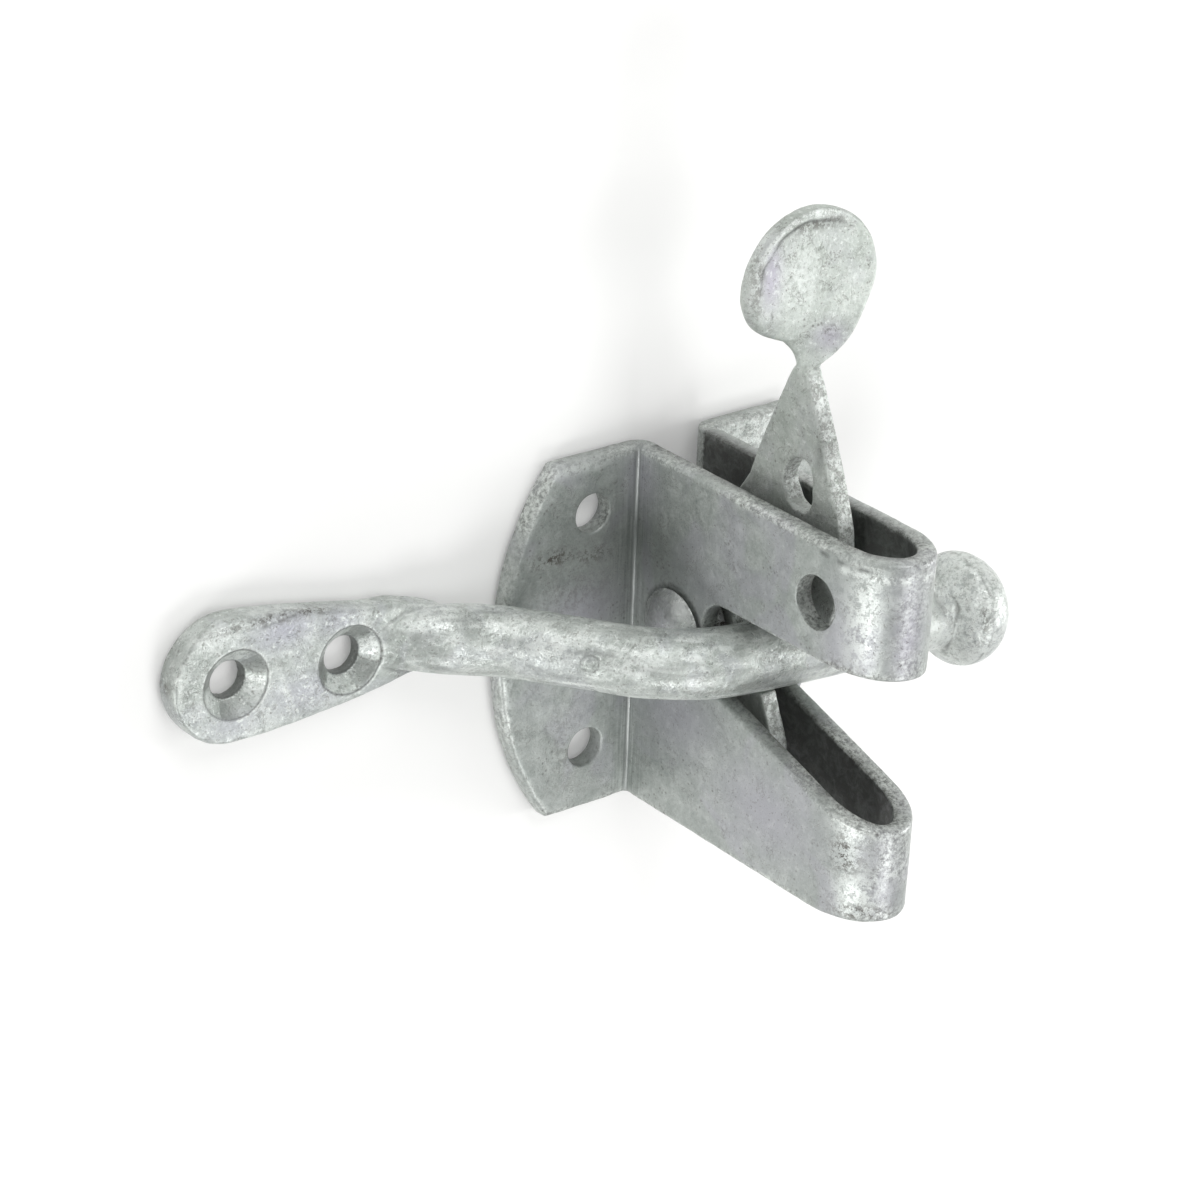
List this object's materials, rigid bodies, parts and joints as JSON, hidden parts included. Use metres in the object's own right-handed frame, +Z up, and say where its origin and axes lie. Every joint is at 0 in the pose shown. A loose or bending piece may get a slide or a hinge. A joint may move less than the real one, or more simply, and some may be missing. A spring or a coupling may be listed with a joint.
{
  "type": "automatic gate latch",
  "caption": "Automatic gate latch in galvanised steel: a folded catch with a riveted thumb lever that closes over the round bar of a cranked striker.",
  "frame": {"origin": "on the fixing plane, at the back of the catch's left flange, midway up the folded strip and on the line of that flange's screw holes", "axes": "+Y into the post and gate, -Y out of the mouth, +X along the striker's bar from its plate to its knob, +Z up"},
  "size_m": [0.1507, 0.0652, 0.1146],
  "materials": {
    "strip_zinc": "hot-dip galvanised, mottled grey with a greenish and lilac cast",
    "lever_zinc": "hot-dip galvanised, pale and speckled at its sheared edges",
    "striker_zinc": "hot-dip galvanised over a forged bar, bright along the top with small pits",
    "rivet_zinc": "hot-dip galvanised rivet head"
  },
  "bodies": {
    "catch": {"catch_body": "strip_zinc", "rivet": "rivet_zinc", "spacer_left": "rivet_zinc", "spacer_right": "rivet_zinc"},
    "lever": {"lever": "lever_zinc"},
    "striker": {"striker": "striker_zinc"}
  },
  "joints": [
    {"name": "lever_pivot", "type": "hinge", "parent": "catch", "child": "lever", "pos_m": [0.0175, -0.0145, 0.0032], "axis": [1, 0, 0], "range_deg": [0, 27.7]},
    {"name": "striker_travel", "type": "slide", "parent": "catch", "child": "striker", "axis": [0, -1, 0], "range_m": [0, 0.048]}
  ]
}
